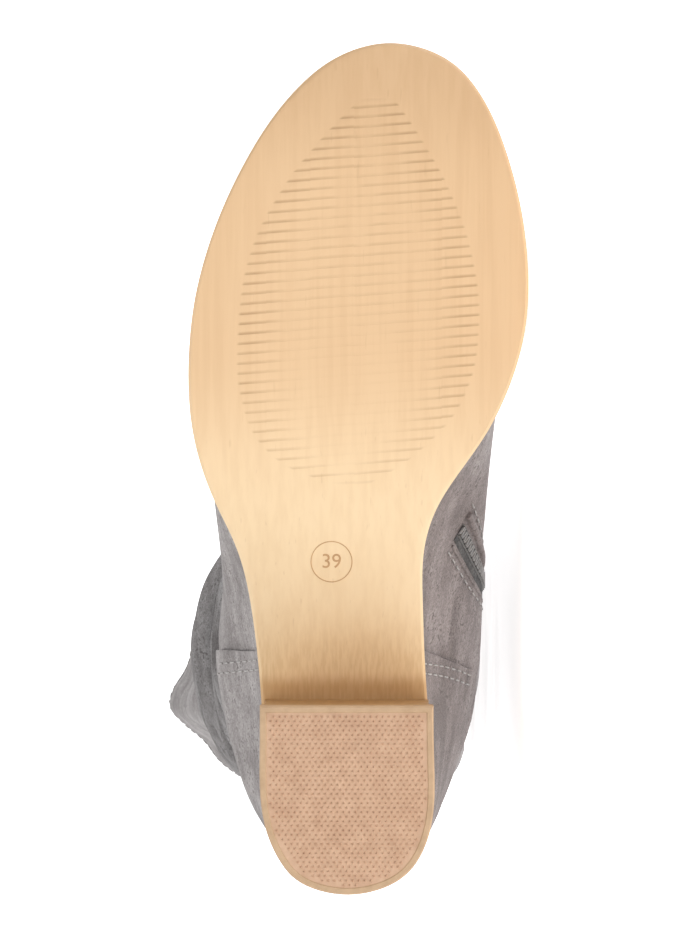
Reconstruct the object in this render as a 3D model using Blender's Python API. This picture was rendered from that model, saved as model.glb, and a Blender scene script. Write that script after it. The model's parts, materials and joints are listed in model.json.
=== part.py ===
# Thigh high block-heel boot for the right foot, slack, lying on its inner side.
# World +X runs from heel to toe, +Y from sole to collar, +Z from the inner side (on the floor) to the outer.
# Run with: blender --background --python part.py

import math

import bmesh
import bpy
from mathutils import Vector

# Driving sizes in metres
FOOT_LENGTH = 0.255
BALL_WIDTH = 0.1018
HEEL_HEIGHT = 0.055
HEEL_LENGTH = 0.0565
TOE_SPRING = 0.009
SOLE_THICKNESS = 0.0045
TOP_PIECE_THICKNESS = 0.005
INSOLE_THICKNESS = 0.002
INSTEP_RISE = 0.160
LEG_HEIGHT = 0.620
COLLAR_WIDTH = 0.131
COLLAR_DEPTH = 0.118
LEATHER_WALL = 0.002
COUNTER_THICKNESS = 0.001
ZIP_THICKNESS = 0.0012
ZIP_WIDTH = 0.011

# Clearances and small margins
FIT_GAP = 0.0003
SOLE_MARGIN_TOE = 0.0035
SOLE_MARGIN_HEEL = 0.0012
HEEL_MARGIN = 0.0006
HEEL_WAIST = 0.0012
EDGE_ROUND = 0.0009
TOP_PIECE_ROUND = 0.00045
ZIP_LIFT = 0.00075

# Mesh steps
HALF_STEPS = 26
POINTS_AROUND = 2 * HALF_STEPS
FOOT_LOOPS_PER_ROW = 2
OVAL_POWER = 2.25

# Sole outline from heel to toe. along: share of foot length. inner, outer: share of ball width above the floor.
OUTLINE = (
    (0.000, 0.528, 0.528),
    (0.012, 0.403, 0.658),
    (0.039, 0.324, 0.727),
    (0.094, 0.275, 0.784),
    (0.176, 0.280, 0.786),
    (0.259, 0.297, 0.797),
    (0.345, 0.305, 0.822),
    (0.404, 0.306, 0.856),
    (0.463, 0.257, 0.927),
    (0.519, 0.153, 0.973),
    (0.576, 0.073, 0.994),
    (0.647, 0.014, 0.992),
    (0.718, 0.000, 0.966),
    (0.802, 0.021, 0.897),
    (0.886, 0.080, 0.788),
    (0.943, 0.150, 0.679),
    (0.982, 0.246, 0.560),
    (1.000, 0.405, 0.405),
)

# Underside of the sole. along: share of foot length. lift: share of heel height.
ARCH = (
    (0.00, 1.00),
    (0.10, 0.94),
    (0.22, 0.84),
    (0.33, 0.60),
    (0.43, 0.29),
    (0.52, 0.07),
    (0.60, 0.00),
    (1.00, 0.00),
)
TREAD_END = 0.82

# Where the sole's margin has grown to its toe value, as a share of foot length
MARGIN_END = 0.5

# Where the heel block stops being straight and where it is narrowest, as shares of its height
HEEL_STRAIGHT_END = 0.12
HEEL_WAIST_AT = 0.60

# Loops of the foot, sole edge to ankle. back, front: share of foot length. back_rise, front_rise: share of
# instep rise above the sole. inner, outer: share of ball width. leg: 0 keeps the sole's outline, 1 an oval.
FOOT = (
    (0.003, 0.989, 0.000, 0.000, 0.060, 0.950, 0.00),
    (-0.004, 0.990, 0.044, 0.040, 0.060, 0.955, 0.10),
    (-0.011, 0.981, 0.088, 0.086, 0.062, 0.955, 0.22),
    (-0.015, 0.957, 0.138, 0.134, 0.070, 0.950, 0.36),
    (-0.014, 0.910, 0.194, 0.180, 0.080, 0.940, 0.52),
    (-0.009, 0.840, 0.256, 0.228, 0.090, 0.930, 0.68),
    (-0.002, 0.757, 0.325, 0.282, 0.100, 0.915, 0.82),
    (0.006, 0.671, 0.394, 0.348, 0.108, 0.905, 0.93),
    (0.013, 0.590, 0.469, 0.426, 0.110, 0.905, 1.00),
    (0.020, 0.523, 0.544, 0.522, 0.108, 0.912, 1.00),
    (0.024, 0.475, 0.625, 0.640, 0.102, 0.922, 1.00),
    (0.025, 0.447, 0.706, 0.806, 0.094, 0.935, 1.00),
    (0.022, 0.436, 0.794, 1.000, 0.083, 0.950, 1.00),
)

# Loops of the leg, above the ankle. height: share of the way from ankle to collar. back, front: share of
# collar depth from the heel's back. inner, outer: share of collar width. A loop that dips under the floor
# is pressed flat on it, as slack suede is.
LEG = (
    (0.08, 0.028, 0.941, 0.036, 0.756),
    (0.17, -0.025, 0.953, -0.016, 0.786),
    (0.27, -0.085, 0.966, -0.072, 0.824),
    (0.38, -0.102, 0.966, -0.095, 0.855),
    (0.50, -0.127, 0.941, -0.098, 0.878),
    (0.62, -0.144, 0.915, -0.098, 0.901),
    (0.74, -0.161, 0.890, -0.098, 0.931),
    (0.86, -0.178, 0.856, -0.092, 0.969),
    (0.94, -0.191, 0.831, -0.084, 0.992),
    (1.00, -0.195, 0.805, -0.078, 1.000),
)

# Zip line on the inner side. row: loop of the table above it lies on. place: share of the loop from back to front.
ZIP = (
    (3.0, 0.458),
    (4.0, 0.465),
    (5.0, 0.471),
    (6.0, 0.491),
    (7.0, 0.528),
    (8.0, 0.575),
    (10.0, 0.695),
    (12.0, 0.763),
    (13.0, 0.790),
    (14.0, 0.831),
    (15.0, 0.892),
    (16.0, 0.902),
)
ZIP_STEPS = 34

# Counter round the heel. Its front seam is a share of foot length. Below the turn, a share of ball width, the
# seam slopes back towards the inner side.
COUNTER_FRONT = 0.278
COUNTER_TURN = 0.300
COUNTER_SLOPE = 0.50
COUNTER_HALF_STEPS = 13
COUNTER_TOP_ROW = 7

# Where the part's origin lies: the middle of the footprint
ORIGIN_ALONG = 0.5 * (FOOT_LENGTH + LEG[-1][1] * COLLAR_DEPTH)
ORIGIN_UP = 0.5 * LEG_HEIGHT

# Colours from the photograph, as linear red, green and blue
SUEDE_GREY = (0.30, 0.275, 0.262)
SOLE_TAN = (0.82, 0.56, 0.32)
HEEL_HONEY = (0.66, 0.40, 0.18)
TOP_PIECE_TAN = (0.58, 0.38, 0.25)
LINING_BEIGE = (0.52, 0.46, 0.39)
ZIP_GREY = (0.20, 0.19, 0.185)


def clear_scene():
    for old in list(bpy.data.objects):
        bpy.data.objects.remove(old, do_unlink=True)


def world(along, up, side):
    return Vector((along - ORIGIN_ALONG, up - ORIGIN_UP, side))


def slopes(xs, ys):
    # Tangents that never overshoot a row of the table
    steps = [(ys[i + 1] - ys[i]) / (xs[i + 1] - xs[i]) for i in range(len(xs) - 1)]
    out = [steps[0]]
    for before, after in zip(steps, steps[1:]):
        out.append(0.0 if before * after <= 0 else 2 * before * after / (before + after))
    out.append(steps[-1])
    return out


def along_table(rows, column, at, key=0):
    # Smooth value of one column where the key column equals at
    xs = [row[key] for row in rows]
    ys = [row[column] for row in rows]
    tangents = slopes(xs, ys)
    i = max(0, min(len(xs) - 2, sum(1 for x in xs if x <= at) - 1))
    width = xs[i + 1] - xs[i]
    t = max(0.0, min(1.0, (at - xs[i]) / width))
    start = (1 + 2 * t) * (1 - t) ** 2 * ys[i] + t * (1 - t) ** 2 * width * tangents[i]
    end = t * t * (3 - 2 * t) * ys[i + 1] + t * t * (t - 1) * width * tangents[i + 1]
    return start + end


def numbered(rows):
    # The same rows with their own number in front, to interpolate between rows
    return [(float(i), *row) for i, row in enumerate(rows)]


def round_curve(before, start, end, after, t):
    # Catmull-Rom step from start to end
    return 0.5 * (
        2 * start
        + (end - before) * t
        + (2 * before - 5 * start + 4 * end - after) * t * t
        + (3 * start - before - 3 * end + after) * t ** 3
    )


def outline_row(index):
    # Past either end the outline comes back along the other side
    last = len(OUTLINE) - 1
    mirrored = index < 0 or index > last
    along, inner, outer = OUTLINE[abs(index) if index <= last else 2 * last - index]
    return (along, outer, inner) if mirrored else (along, inner, outer)


def outline_at(t):
    # along, inner and outer shares of the outline, t from 0 at the heel to 1 at the toe
    place = t * (len(OUTLINE) - 1)
    i = min(int(place), len(OUTLINE) - 2)
    rows = [outline_row(i + step) for step in (-1, 0, 1, 2)]
    return [round_curve(*[row[c] for row in rows], place - i) for c in range(3)]


def sole_under(along):
    # Height of the sole's underside above the ground it walks on
    share = along / FOOT_LENGTH
    lift = HEEL_HEIGHT * along_table(ARCH, 1, share)
    if share > TREAD_END:
        lift += TOE_SPRING * ((share - TREAD_END) / (1 - TREAD_END)) ** 2
    return lift


def sole_top(along):
    return sole_under(along) + SOLE_THICKNESS


def sole_loop(inset_heel, inset_toe):
    # Points round the sole's outline, moved inwards, as (along, side): heel, inner side, toe, outer side
    shares = [outline_at(i / HALF_STEPS) for i in range(HALF_STEPS + 1)]
    inner = [(a * FOOT_LENGTH, b * BALL_WIDTH) for a, b, _ in shares]
    outer = [(a * FOOT_LENGTH, c * BALL_WIDTH) for a, _, c in shares]
    loop = inner + outer[-2:0:-1]
    moved = []
    for i, (along, side) in enumerate(loop):
        before = loop[i - 1]
        after = loop[(i + 1) % len(loop)]
        run = Vector((after[0] - before[0], after[1] - before[1])).normalized()
        inset = inset_heel + (inset_toe - inset_heel) * min(1.0, along / FOOT_LENGTH / MARGIN_END)
        moved.append((along - run.y * inset, side + run.x * inset))
    return moved


def row_value(table, row, column):
    return along_table(numbered(table), column + 1, row)


def oval(place, inner, outer, on_inner_side):
    middle = 0.5 * (inner + outer)
    reach = 0.5 * (outer - inner) * max(0.0, 1 - abs(2 * place - 1) ** OVAL_POWER) ** (1 / OVAL_POWER)
    return middle - reach if on_inner_side else middle + reach


def foot_point(row, i, feather):
    back, front, back_rise, front_rise, inner, outer, leg = [
        row_value(FOOT, row, c) for c in range(len(FOOT[0]))
    ]
    along_0, side_0 = feather[i]
    first = feather[0][0]
    last = feather[HALF_STEPS][0]
    place = (along_0 - first) / (last - first)
    start = back * FOOT_LENGTH
    end = front * FOOT_LENGTH
    along = start + (end - start) * place
    rise = (back_rise + (front_rise - back_rise) * place) * INSTEP_RISE
    chord = sole_top(start) + (sole_top(end) - sole_top(start)) * place
    up = sole_top(along) * (1 - leg) + chord * leg + rise + FIT_GAP
    round_side = oval(place, inner * BALL_WIDTH, outer * BALL_WIDTH, i <= HALF_STEPS)
    return along, up, side_0 * (1 - leg) + round_side * leg


def leg_rows():
    # The ankle loop of the foot table, then the leg's own loops, all as metres
    back, front, back_rise, front_rise, inner, outer, _ = FOOT[-1]
    start = back * FOOT_LENGTH
    end = front * FOOT_LENGTH
    back_up = sole_top(start) + back_rise * INSTEP_RISE + FIT_GAP
    front_up = sole_top(end) + front_rise * INSTEP_RISE + FIT_GAP
    ankle_up = max(back_up, front_up)
    rows = [(start, end, back_up, front_up, inner * BALL_WIDTH, outer * BALL_WIDTH)]
    for height, back, front, inner, outer in LEG:
        up = ankle_up + height * (LEG_HEIGHT - ankle_up)
        rows.append(
            (back * COLLAR_DEPTH, front * COLLAR_DEPTH, up, up, inner * COLLAR_WIDTH, outer * COLLAR_WIDTH)
        )
    return rows


def leg_point(row, i, feather, rows):
    back, front, back_up, front_up, inner, outer = [row_value(rows, row, c) for c in range(6)]
    first = feather[0][0]
    place = (feather[i][0] - first) / (feather[HALF_STEPS][0] - first)
    side = oval(place, inner, outer, i <= HALF_STEPS)
    return back + (front - back) * place, back_up + (front_up - back_up) * place, max(0.0, side)


def upper_rows():
    # Row numbers of all the loops, closer together on the foot than on the leg
    foot = [i / FOOT_LOOPS_PER_ROW for i in range(FOOT_LOOPS_PER_ROW * (len(FOOT) - 1) + 1)]
    return foot + [float(len(FOOT) - 1 + i) for i in range(1, len(LEG) + 1)]


def upper_surface():
    # Outer face of the upper as loops of points
    feather = sole_loop(SOLE_MARGIN_HEEL, SOLE_MARGIN_TOE)
    rows = leg_rows()
    ankle = float(len(FOOT) - 1)
    loops = []
    for row in upper_rows():
        if row <= ankle:
            points = [foot_point(row, i, feather) for i in range(POINTS_AROUND)]
        else:
            points = [leg_point(row - ankle, i, feather, rows) for i in range(POINTS_AROUND)]
        loops.append([world(*p) for p in points])
    return loops


def outward(loops, j, i):
    # Unit normal of the outer face at one point
    ring = loops[j]
    around = ring[(i + 1) % POINTS_AROUND] - ring[i - 1]
    up = loops[min(j + 1, len(loops) - 1)][i] - loops[max(j - 1, 0)][i]
    return up.cross(around).normalized()


def offset_loops(loops, distance):
    # The same loops moved out by a distance, with the rims kept level
    moved = []
    for j, ring in enumerate(loops):
        out = []
        for i, point in enumerate(ring):
            shifted = point + outward(loops, j, i) * distance
            if j == 0 or j == len(loops) - 1:
                shifted.y = point.y
            out.append(shifted)
        moved.append(out)
    return moved


def new_object(name, mesh_builder, colour, roughness, smooth_angle=math.radians(35)):
    mesh = bpy.data.meshes.new(name)
    bm = bmesh.new()
    mesh_builder(bm)
    bmesh.ops.recalc_face_normals(bm, faces=bm.faces)
    if bm.calc_volume(signed=True) < 0:
        bmesh.ops.reverse_faces(bm, faces=bm.faces)
    bm.to_mesh(mesh)
    bm.free()
    mesh.shade_smooth()
    mesh.set_sharp_from_angle(angle=smooth_angle)
    material = bpy.data.materials.new(name + "_finish")
    material.use_nodes = True
    shader = material.node_tree.nodes["Principled BSDF"]
    shader.inputs["Base Color"].default_value = (*colour, 1.0)
    shader.inputs["Roughness"].default_value = roughness
    shader.inputs["Metallic"].default_value = 0.0
    mesh.materials.append(material)
    obj = bpy.data.objects.new(name, mesh)
    bpy.context.collection.objects.link(obj)
    return obj


def skin(bm, rings, closed_around):
    # Quads between neighbouring rings of vertices
    count = len(rings[0])
    for lower, higher in zip(rings, rings[1:]):
        for i in range(count if closed_around else count - 1):
            k = (i + 1) % count
            bm.faces.new((lower[i], lower[k], higher[k], higher[i]))


def tube_wall(bm, outer, inner):
    # A closed wall between an outer and an inner set of loops
    outer_verts = [[bm.verts.new(p) for p in ring] for ring in outer]
    inner_verts = [[bm.verts.new(p) for p in ring] for ring in inner]
    skin(bm, outer_verts, True)
    skin(bm, [ring[::-1] for ring in inner_verts], True)
    for a, b in ((outer_verts[0], inner_verts[0]), (outer_verts[-1], inner_verts[-1])):
        skin(bm, [a, b], True)


def patch_wall(bm, outer, inner):
    # A closed slab between two open patches of the same size
    top = [[bm.verts.new(p) for p in line] for line in outer]
    under = [[bm.verts.new(p) for p in line] for line in inner]
    skin(bm, top, False)
    skin(bm, [line[::-1] for line in under], False)
    skin(bm, [top[0], under[0]], False)
    skin(bm, [top[-1], under[-1]], False)
    skin(bm, [[line[0] for line in top], [line[0] for line in under]], False)
    skin(bm, [[line[-1] for line in top], [line[-1] for line in under]], False)


def slab(bm, levels):
    # A slab from loops of (along, side), each with its own height function, capped by strips across
    rings = []
    for loop, height in levels:
        rings.append([bm.verts.new(world(along, height(along), side)) for along, side in loop])
    skin(bm, rings, True)
    for ring in (rings[0], rings[-1]):
        bm.faces.new((ring[0], ring[1], ring[-1]))
        for i in range(1, len(ring) // 2):
            corners = (ring[i], ring[i + 1], ring[-i - 1], ring[-i])
            bm.faces.new(list(dict.fromkeys(corners)))


def build_outsole():
    whole = sole_loop(0.0, 0.0)
    eased = sole_loop(EDGE_ROUND, EDGE_ROUND)

    def build(bm):
        slab(
            bm,
            (
                (eased, sole_under),
                (whole, lambda a: sole_under(a) + EDGE_ROUND),
                (whole, lambda a: sole_top(a) - EDGE_ROUND),
                (eased, sole_top),
            ),
        )

    return new_object("outsole", build, SOLE_TAN, 0.45)


def build_insole():
    inset = LEATHER_WALL + 2 * FIT_GAP
    loop = sole_loop(SOLE_MARGIN_HEEL + inset, SOLE_MARGIN_TOE + inset)

    def build(bm):
        slab(
            bm,
            (
                (loop, lambda a: sole_top(a) + FIT_GAP),
                (loop, lambda a: sole_top(a) + FIT_GAP + INSOLE_THICKNESS),
            ),
        )

    return new_object("insole", build, LINING_BEIGE, 0.7)


def heel_loop(inset):
    # The rear of the sole's outline, closed by a straight breast
    breast = HEEL_LENGTH - inset
    loop = sole_loop(inset, inset)
    inner = [p for p in loop[: HALF_STEPS + 1] if p[0] < breast - FIT_GAP]
    outer = [p for p in loop[HALF_STEPS + 1 :] if p[0] < breast - FIT_GAP]
    inner_side = inner[-1][1]
    outer_side = outer[0][1]
    return inner + [(breast, inner_side), (breast, outer_side)] + outer


def build_heel():
    seat = heel_loop(HEEL_MARGIN)
    waist = heel_loop(HEEL_WAIST)
    foot = heel_loop(0.0)
    base = TOP_PIECE_THICKNESS + FIT_GAP

    def height(share):
        return lambda a: base + share * (sole_under(a) - FIT_GAP - base)

    def build(bm):
        slab(
            bm,
            (
                (foot, height(0.0)),
                (foot, height(HEEL_STRAIGHT_END)),
                (waist, height(HEEL_WAIST_AT)),
                (seat, height(1.0)),
            ),
        )

    return new_object("heel_block", build, HEEL_HONEY, 0.4)


def build_top_piece():
    whole = heel_loop(0.0)
    eased = heel_loop(TOP_PIECE_ROUND)

    def build(bm):
        slab(
            bm,
            (
                (eased, lambda a: 0.0),
                (whole, lambda a: TOP_PIECE_ROUND),
                (whole, lambda a: TOP_PIECE_THICKNESS),
            ),
        )

    return new_object("heel_top_piece", build, TOP_PIECE_TAN, 0.65)


def build_upper(surface):
    inner = offset_loops(surface, -LEATHER_WALL)

    def build(bm):
        tube_wall(bm, surface, inner)

    return new_object("upper", build, SUEDE_GREY, 0.95)


def trim(bm, place, normal):
    # Cut away what lies past a plane and close the cut
    parts = bm.verts[:] + bm.edges[:] + bm.faces[:]
    bmesh.ops.bisect_plane(bm, geom=parts, plane_co=place, plane_no=normal, clear_outer=True)
    bmesh.ops.holes_fill(bm, edges=[edge for edge in bm.edges if edge.is_boundary], sides=0)


def build_counter(surface):
    near = offset_loops(surface, FIT_GAP)
    far = offset_loops(surface, FIT_GAP + COUNTER_THICKNESS)
    last = COUNTER_TOP_ROW * FOOT_LOOPS_PER_ROW
    columns = list(range(-COUNTER_HALF_STEPS, COUNTER_HALF_STEPS + 1))
    seam = world(COUNTER_FRONT * FOOT_LENGTH, 0.0, COUNTER_TURN * BALL_WIDTH)

    def build(bm):
        outer = [[far[j][c] for c in columns] for j in range(last)]
        inner = [[near[j][c] for c in columns] for j in range(last)]
        patch_wall(bm, outer, inner)
        trim(bm, seam, Vector((1, 0, 0)))
        trim(bm, seam, Vector((1, 0, -COUNTER_SLOPE)).normalized())

    return new_object("heel_counter", build, SUEDE_GREY, 0.95)


def surface_at(loops, row, place, feather):
    # A point of the upper's inner side by table row and share from back to front, with its normal
    rows = upper_rows()
    j = max(0, min(len(rows) - 2, sum(1 for r in rows if r <= row) - 1))
    v = (row - rows[j]) / (rows[j + 1] - rows[j])
    first = feather[0][0]
    span = feather[HALF_STEPS][0] - first
    shares = [(feather[i][0] - first) / span for i in range(HALF_STEPS + 1)]
    i = max(0, min(HALF_STEPS - 1, sum(1 for s in shares if s <= place) - 1))
    u = (place - shares[i]) / (shares[i + 1] - shares[i])
    low = loops[j][i].lerp(loops[j][i + 1], u)
    high = loops[j + 1][i].lerp(loops[j + 1][i + 1], u)
    normal = outward(loops, j, i).lerp(outward(loops, j, i + 1), u)
    normal_high = outward(loops, j + 1, i).lerp(outward(loops, j + 1, i + 1), u)
    return low.lerp(high, v), normal.lerp(normal_high, v).normalized()


def build_zip(surface):
    feather = sole_loop(SOLE_MARGIN_HEEL, SOLE_MARGIN_TOE)
    line = []
    for k in range(ZIP_STEPS + 1):
        row = ZIP[0][0] + (ZIP[-1][0] - ZIP[0][0]) * k / ZIP_STEPS
        line.append(surface_at(surface, row, along_table(ZIP, 1, row), feather))
    under, top = [], []
    for k, (point, normal) in enumerate(line):
        run = line[min(k + 1, ZIP_STEPS)][0] - line[max(k - 1, 0)][0]
        across = run.cross(normal).normalized() * ZIP_WIDTH * 0.5
        under.append([point + across * s + normal * ZIP_LIFT for s in (-1, 0, 1)])
        top.append([point + across * s + normal * (ZIP_LIFT + ZIP_THICKNESS) for s in (-1, 0, 1)])

    def build(bm):
        patch_wall(bm, top, under)

    return new_object("zip", build, ZIP_GREY, 0.6)


def main():
    clear_scene()
    build_outsole()
    build_insole()
    build_heel()
    build_top_piece()
    surface = upper_surface()
    build_upper(surface)
    build_counter(surface)
    build_zip(surface)


main()
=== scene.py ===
import json
import math

import bpy
from mathutils import Matrix, Vector, noise
from mathutils.bvhtree import BVHTree

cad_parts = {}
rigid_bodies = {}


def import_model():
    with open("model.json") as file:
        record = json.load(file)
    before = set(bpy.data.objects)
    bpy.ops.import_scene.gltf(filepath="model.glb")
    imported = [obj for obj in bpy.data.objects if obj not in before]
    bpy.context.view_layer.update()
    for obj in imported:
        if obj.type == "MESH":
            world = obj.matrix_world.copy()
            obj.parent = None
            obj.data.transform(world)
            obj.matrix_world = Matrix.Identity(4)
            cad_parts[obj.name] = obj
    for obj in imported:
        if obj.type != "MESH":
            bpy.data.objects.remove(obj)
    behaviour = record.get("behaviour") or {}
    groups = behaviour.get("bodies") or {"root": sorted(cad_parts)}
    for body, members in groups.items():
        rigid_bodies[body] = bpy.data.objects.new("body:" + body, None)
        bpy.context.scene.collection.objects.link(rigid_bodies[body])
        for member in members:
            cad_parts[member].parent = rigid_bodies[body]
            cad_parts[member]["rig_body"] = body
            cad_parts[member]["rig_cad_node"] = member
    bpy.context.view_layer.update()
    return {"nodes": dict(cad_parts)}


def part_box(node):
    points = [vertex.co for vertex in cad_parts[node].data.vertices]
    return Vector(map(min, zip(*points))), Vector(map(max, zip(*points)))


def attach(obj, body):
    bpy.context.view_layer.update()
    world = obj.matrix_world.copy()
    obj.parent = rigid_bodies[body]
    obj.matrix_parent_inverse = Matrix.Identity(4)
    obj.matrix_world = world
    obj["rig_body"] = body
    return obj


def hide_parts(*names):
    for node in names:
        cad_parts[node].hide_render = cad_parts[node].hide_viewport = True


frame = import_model()
body = "root"

# Where the boot's own measures start: along from the back of the heel, up from the tread, side from the floor
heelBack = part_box("outsole")[0].x
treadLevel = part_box("heel_top_piece")[0].y
farOut = 0.25   # rays that look for the boot's skin start this far from it

# Turns a camera or a text to face the sole, with the toe at the top
toeAtTop = Matrix(((0, 1, 0), (0, 0, -1), (-1, 0, 0)))


def at(along, up, side):
    return Vector((heelBack + along, treadLevel + up, side))


def measures(point):
    return point.x - heelBack, point.y - treadLevel, point.z


def deselectAll():
    if bpy.context.object and bpy.context.object.mode != "OBJECT":
        bpy.ops.object.mode_set(mode="OBJECT")
    bpy.ops.object.select_all(action="DESELECT")


def pick(piece):
    deselectAll()
    piece.select_set(True)
    bpy.context.view_layer.objects.active = piece


def emptySelection(piece, kind):
    # No vertex, edge or face stays selected, and the next ones chosen are edges or faces
    pick(piece)
    bpy.ops.object.mode_set(mode="EDIT")
    bpy.ops.mesh.select_mode(type=kind)
    bpy.ops.mesh.select_all(action="DESELECT")
    bpy.ops.object.mode_set(mode="OBJECT")


def rows(table, where):
    # Every other column of a short table, on a smooth curve through its rows, at a place in its first column
    last = len(table) - 1
    i = max(0, min(last - 1, sum(1 for row in table if row[0] <= where) - 1))
    before, low, high, after = (table[k] for k in (max(i - 1, 0), i, i + 1, min(i + 2, last)))
    width = high[0] - low[0]
    t = max(0.0, min(1.0, (where - low[0]) / width))
    rise = t * t * (3 - 2 * t)
    leaving = t * (1 - t) * (1 - t) * width
    coming = t * t * (t - 1) * width
    values = []
    for k in range(1, len(low)):
        slopeLow = (high[k] - before[k]) / (high[0] - before[0])
        slopeHigh = (after[k] - low[k]) / (after[0] - low[0])
        values.append(low[k] + (high[k] - low[k]) * rise + slopeLow * leaving + slopeHigh * coming)
    return values


def smooth(low, high, value):
    t = max(0.0, min(1.0, (value - low) / (high - low)))
    return t * t * (3 - 2 * t)


def bell(away, width):
    return math.exp(-((away / width) ** 2))


# Camera and studio

studio = {
    "centreAlong": 0.1276, "centreSide": 0.0532,   # what the middle of the picture looks at
    "distance": 1.25, "pictureHeight": 0.2768,     # metres from the tread, and metres of tread in the picture
    "sensor": 36, "nearest": 0.05,
    "floorSize": 7.0, "wallAway": 2.6, "wallFoot": (0, 0.5, 0.35), "wallRise": (0, 0.2, 4.0),
    "floorColour": (0.93, 0.93, 0.935, 1), "skyStrength": 0.34, "floorGlow": 0.69, "wallGlow": 0.88,
}

# Soft round lamps: name, place, what it points at, size, power, colour
lamps = (
    ("keyLight", (-0.36, -1.12, 1.0), (-0.02, -0.3, 0.05), 1.1, 5.1, (1, 0.985, 0.96)),
    ("heelFill", (-1.3, -0.35, 0.95), (-0.05, -0.2, 0.05), 1.2, 3.3, (1, 1, 1)),
    ("topLight", (-0.1, -0.25, 1.8), (0, 0, 0.05), 1.2, 10.2, (1, 1, 1)),
    ("legFill", (-0.3, 1.6, 1.5), (0, 0.1, 0.05), 1.2, 1.0, (1, 1, 1)),
)


def makeCamera():
    bpy.ops.object.camera_add(location=at(studio["centreAlong"], -studio["distance"], studio["centreSide"]))
    camera = bpy.context.object
    camera.name = "photoCamera"
    camera.rotation_euler = toeAtTop.to_euler()
    camera.data.sensor_width = studio["sensor"]
    camera.data.lens = studio["sensor"] * studio["distance"] / studio["pictureHeight"]
    camera.data.clip_start = studio["nearest"]
    bpy.context.scene.camera = camera


def makeLamp(name, place, target, size, power, colour):
    bpy.ops.object.light_add(type="AREA", location=place)
    light = bpy.context.object
    light.name = name
    light.data.shape = "DISK"
    light.data.size = size
    light.data.energy = power
    light.data.color = colour
    light.rotation_euler = (Vector(target) - Vector(place)).to_track_quat("-Z", "Y").to_euler()


def makeSky():
    world = bpy.data.worlds.new("studioAir")
    world.use_nodes = True
    world.node_tree.nodes["Background"].inputs["Color"].default_value = (1, 1, 1, 1)
    world.node_tree.nodes["Background"].inputs["Strength"].default_value = studio["skyStrength"]
    bpy.context.scene.world = world
    bpy.context.scene.view_settings.view_transform = "Standard"


def makeFloor():
    # A floor that bends up into a wall far behind the collar
    deselectAll()
    bpy.ops.mesh.primitive_plane_add(size=studio["floorSize"], location=(0, 0, 0))
    floor = bpy.context.object
    floor.name = "paleFloor"
    emptySelection(floor, "EDGE")
    for edge in floor.data.edges:
        edge.select = all(floor.data.vertices[v].co.y > 0 for v in edge.vertices)
    bpy.ops.object.mode_set(mode="EDIT")
    for step in ("wallFoot", "wallRise"):
        bpy.ops.mesh.extrude_region_move(TRANSFORM_OT_translate={"value": studio[step]})
    bpy.ops.object.mode_set(mode="OBJECT")
    floor.data.transform(Matrix.Translation((0, studio["wallAway"] - studio["floorSize"] / 2, 0)))
    for name, glow in (("paleFloorFinish", studio["floorGlow"]), ("paleWallFinish", studio["wallGlow"])):
        finish = bpy.data.materials.new(name)
        finish.use_nodes = True
        shader = finish.node_tree.nodes["Principled BSDF"]
        shader.inputs["Base Color"].default_value = studio["floorColour"]
        shader.inputs["Roughness"].default_value = 0.9
        shader.inputs["Specular IOR Level"].default_value = 0.1
        shader.inputs["Emission Color"].default_value = (1, 1, 1, 1)
        shader.inputs["Emission Strength"].default_value = glow
        floor.data.materials.append(finish)
    for face in floor.data.polygons:
        face.material_index = 0 if abs(face.normal.z) > 0.9 else 1


makeCamera()
makeSky()
makeFloor()
for lamp in lamps:
    makeLamp(*lamp)
print("camera and studio ready")


# Small helpers for shader nodes


def node(tree, kind, **values):
    made = tree.nodes.new(kind)
    for label, value in values.items():
        if hasattr(made, label):
            setattr(made, label, value)
        else:
            made.inputs[label].default_value = value
    return made


def link(tree, source, target):
    tree.links.new(source, target)


def speckled(tree, vector, **values):
    made = node(tree, "ShaderNodeTexNoise", **values)
    link(tree, vector, made.inputs["Vector"])
    return made.outputs["Fac"]


def stretched(tree, vector, scale):
    made = node(tree, "ShaderNodeMapping", Scale=scale)
    link(tree, vector, made.inputs["Vector"])
    return made.outputs["Vector"]


def partsOf(tree, vector):
    made = tree.nodes.new("ShaderNodeSeparateXYZ")
    link(tree, vector, made.inputs[0])
    return made.outputs


def ease(tree, value, low, high, kind="SMOOTHSTEP"):
    made = node(tree, "ShaderNodeMapRange", interpolation_type=kind)
    made.inputs["From Min"].default_value = low
    made.inputs["From Max"].default_value = high
    link(tree, value, made.inputs["Value"])
    return made.outputs["Result"]


def maths(tree, kind, *values):
    made = node(tree, "ShaderNodeMath", operation=kind)
    for socket, value in zip(made.inputs, values):
        if isinstance(value, (int, float)):
            socket.default_value = value
        else:
            link(tree, value, socket)
    return made.outputs[0]


def ramp(tree, source, stops):
    made = tree.nodes.new("ShaderNodeValToRGB")
    while len(made.color_ramp.elements) < len(stops):
        made.color_ramp.elements.new(0.5)
    for element, (position, colour) in zip(made.color_ramp.elements, stops):
        element.position = position
        element.color = (*colour, 1)
    link(tree, source, made.inputs["Fac"])
    return made.outputs["Color"]


def mixed(tree, mask, first, second, mode="MIX"):
    made = node(tree, "ShaderNodeMix", data_type="RGBA", blend_type=mode)
    if isinstance(mask, float):
        made.inputs[0].default_value = mask
    else:
        link(tree, mask, made.inputs[0])
    for socket, colour in ((made.inputs[6], first), (made.inputs[7], second)):
        if isinstance(colour, tuple):
            socket.default_value = (*colour, 1)
        else:
            link(tree, colour, socket)
    return made.outputs[2]


def tinted(tree, mask, tone, tint):
    return mixed(tree, mask, tone, mixed(tree, 1.0, tone, tint, "MULTIPLY"))


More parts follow.
